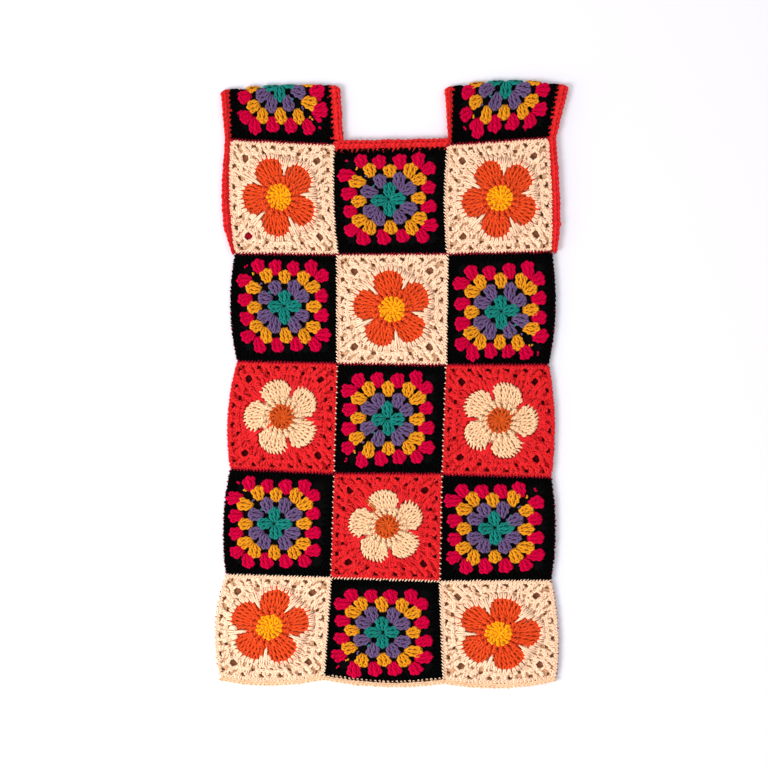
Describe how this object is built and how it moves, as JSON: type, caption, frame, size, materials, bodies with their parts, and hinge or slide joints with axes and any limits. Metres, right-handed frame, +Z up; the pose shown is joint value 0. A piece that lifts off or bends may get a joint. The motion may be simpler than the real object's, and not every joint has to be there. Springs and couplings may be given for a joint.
{
  "type": "sleeveless crochet dress laid flat",
  "caption": "Sleeveless mini dress of crocheted granny and flower squares sewn edge to edge, laid flat front up, with a square neckline and crocheted edgings.",
  "frame": {"origin": "on the surface the dress lies on, under the middle of its outline", "axes": "+Y from the hem to the shoulders, +X to the right of the picture, which is the wearer's left, +Z up through the cloth to the front panel"},
  "size_m": [0.4588, 0.7923, 0.0106],
  "materials": {
    "black_yarn": "matt cotton yarn, black ground of the granny squares with teal, purple, mustard and crimson rounds",
    "cream_yarn": "matt cotton yarn, cream ground of the flower squares with orange petals and a golden centre",
    "red_yarn": "matt cotton yarn, red ground of the flower squares with cream petals and an orange centre",
    "edging_yarn": "matt cotton yarn, red crocheted edging",
    "hem_yarn": "matt cotton yarn, peach-cream crocheted edging"
  },
  "bodies": {
    "root": {"front_r1_left": "cream_yarn", "front_r1_middle": "black_yarn", "front_r1_right": "cream_yarn", "front_r2_left": "black_yarn", "front_r2_middle": "cream_yarn", "front_r2_right": "black_yarn", "front_r3_left": "red_yarn", "front_r3_middle": "black_yarn", "front_r3_right": "red_yarn", "front_r4_left": "black_yarn", "front_r4_middle": "red_yarn", "front_r4_right": "black_yarn", "front_r5_left": "cream_yarn", "front_r5_middle": "black_yarn", "front_r5_right": "cream_yarn", "back_r1_left": "cream_yarn", "back_r1_middle": "black_yarn", "back_r1_right": "cream_yarn", "back_r2_left": "black_yarn", "back_r2_middle": "cream_yarn", "back_r2_right": "black_yarn", "back_r3_left": "red_yarn", "back_r3_middle": "black_yarn", "back_r3_right": "red_yarn", "back_r4_left": "black_yarn", "back_r4_middle": "red_yarn", "back_r4_right": "black_yarn", "back_r5_left": "cream_yarn", "back_r5_middle": "black_yarn", "back_r5_right": "cream_yarn", "shoulder_left": "black_yarn", "armhole_edging_left": "edging_yarn", "neck_edging_left": "edging_yarn", "shoulder_right": "black_yarn", "armhole_edging_right": "edging_yarn", "neck_edging_right": "edging_yarn", "neck_edging_front": "edging_yarn", "hem_edging_front": "hem_yarn", "neck_edging_back": "edging_yarn", "hem_edging_back": "hem_yarn"}
  },
  "joints": []
}
